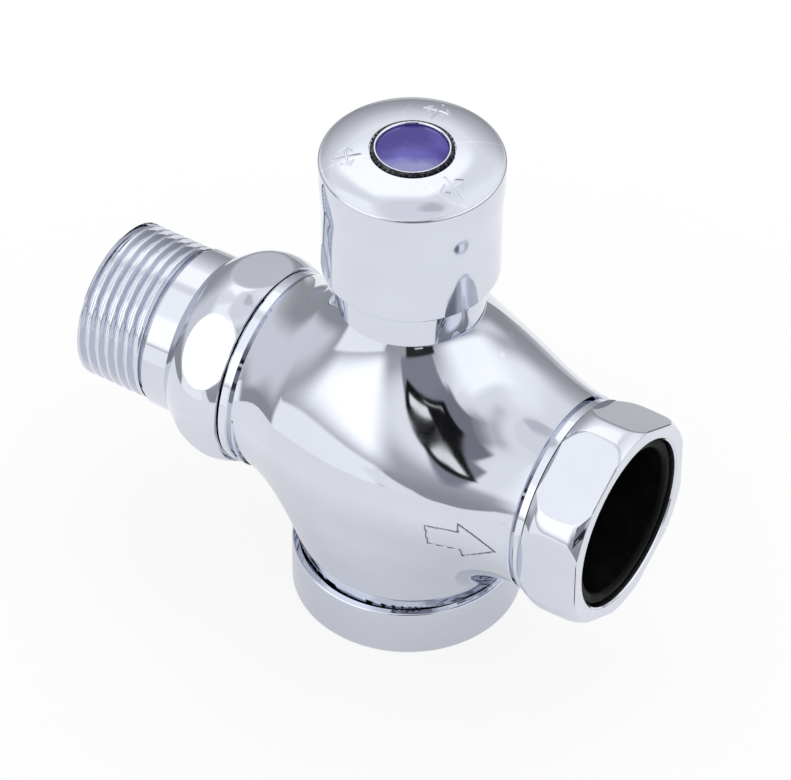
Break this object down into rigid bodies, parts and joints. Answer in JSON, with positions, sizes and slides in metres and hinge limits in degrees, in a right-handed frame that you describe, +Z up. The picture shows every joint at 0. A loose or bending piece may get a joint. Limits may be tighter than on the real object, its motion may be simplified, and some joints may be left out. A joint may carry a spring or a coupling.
{
  "type": "push-button flush valve",
  "caption": "Chrome self-closing flush valve: threaded inlet, round push button on top, coupling nut with rubber sleeve for the flush pipe.",
  "frame": {"origin": "centre of the flat underside of the bottom cap", "axes": "+Z up along the button, +X along the pipe out of the outlet, inlet towards -X"},
  "size_m": [0.1207, 0.0552, 0.1156],
  "materials": {
    "plated": "mirror polished plating",
    "brass": "machined",
    "steel": "drawn",
    "rubber": "moulded",
    "plastic": "moulded",
    "blue": "printed disc",
    "clear": "clear"
  },
  "bodies": {
    "valve": {"valve_body": "plated", "inlet_nipple": "plated", "inlet_gasket": "rubber", "bonnet": "plated", "bonnet_o_ring": "rubber", "bottom_cap": "plated", "bottom_cap_o_ring": "rubber", "outlet_seal": "rubber", "piston_spring": "steel"},
    "regulator": {"regulator_sleeve": "brass", "regulator_o_rings": "rubber", "retaining_clip": "steel", "button_spring": "steel"},
    "throttle": {"throttle_bell": "brass"},
    "button": {"button_cap": "plated", "index_bezel": "plated", "index_disc": "blue", "index_lens": "clear", "cap_screw": "steel", "screw_washer": "steel", "push_stem": "brass", "stem_o_rings": "rubber"},
    "piston": {"piston_body": "plastic", "main_seal": "rubber", "seal_retainer": "brass", "cup_seal": "rubber", "cup_retainer": "brass", "orifice_screw": "brass", "orifice_filter": "plastic", "pilot_retainer": "brass", "pilot_spring": "steel"},
    "pilot": {"pilot_pin": "brass", "pilot_seal": "rubber"},
    "pressure_ring": {"push_ring": "brass"},
    "nut": {"outlet_nut": "plated"}
  },
  "joints": [
    {"name": "knob_turn", "type": "hinge", "parent": "valve", "child": "regulator", "pos_m": [0, 0, 0.0865], "axis": [0, 0, 1], "range_deg": [-270, 0]},
    {"name": "throttle_slide", "type": "slide", "parent": "valve", "child": "throttle", "axis": [0, 0, -1], "range_m": [0, 0.006]},
    {"name": "button_press", "type": "slide", "parent": "regulator", "child": "button", "axis": [0, 0, -1], "range_m": [0, 0.0079], "stiffness_N_per_m": 400, "springref_m": -0.02, "deforming": ["button_spring"]},
    {"name": "piston_drop", "type": "slide", "parent": "valve", "child": "piston", "axis": [0, 0, -1], "range_m": [0, 0.00595], "deforming": ["piston_spring"]},
    {"name": "pilot_open", "type": "slide", "parent": "piston", "child": "pilot", "axis": [0, 0, -1], "range_m": [0, 0.00199], "deforming": ["pilot_spring"]},
    {"name": "ring_slide", "type": "slide", "parent": "valve", "child": "pressure_ring", "axis": [1, 0, 0], "range_m": [0, 0.004]},
    {"name": "nut_turn", "type": "hinge", "parent": "pressure_ring", "child": "nut", "pos_m": [0.0439, 0, 0.0411], "axis": [1, 0, 0], "range_deg": [0, 720]}
  ],
  "couplings": [
    {"joint": "knob_turn", "follows": "throttle_slide", "rad_per_m": -785.4},
    {"joint": "piston_drop", "follows": "button_press", "ratio": 0.75},
    {"joint": "pilot_open", "follows": "button_press", "ratio": 0.25},
    {"joint": "nut_turn", "follows": "ring_slide", "rad_per_m": 3141.6}
  ]
}
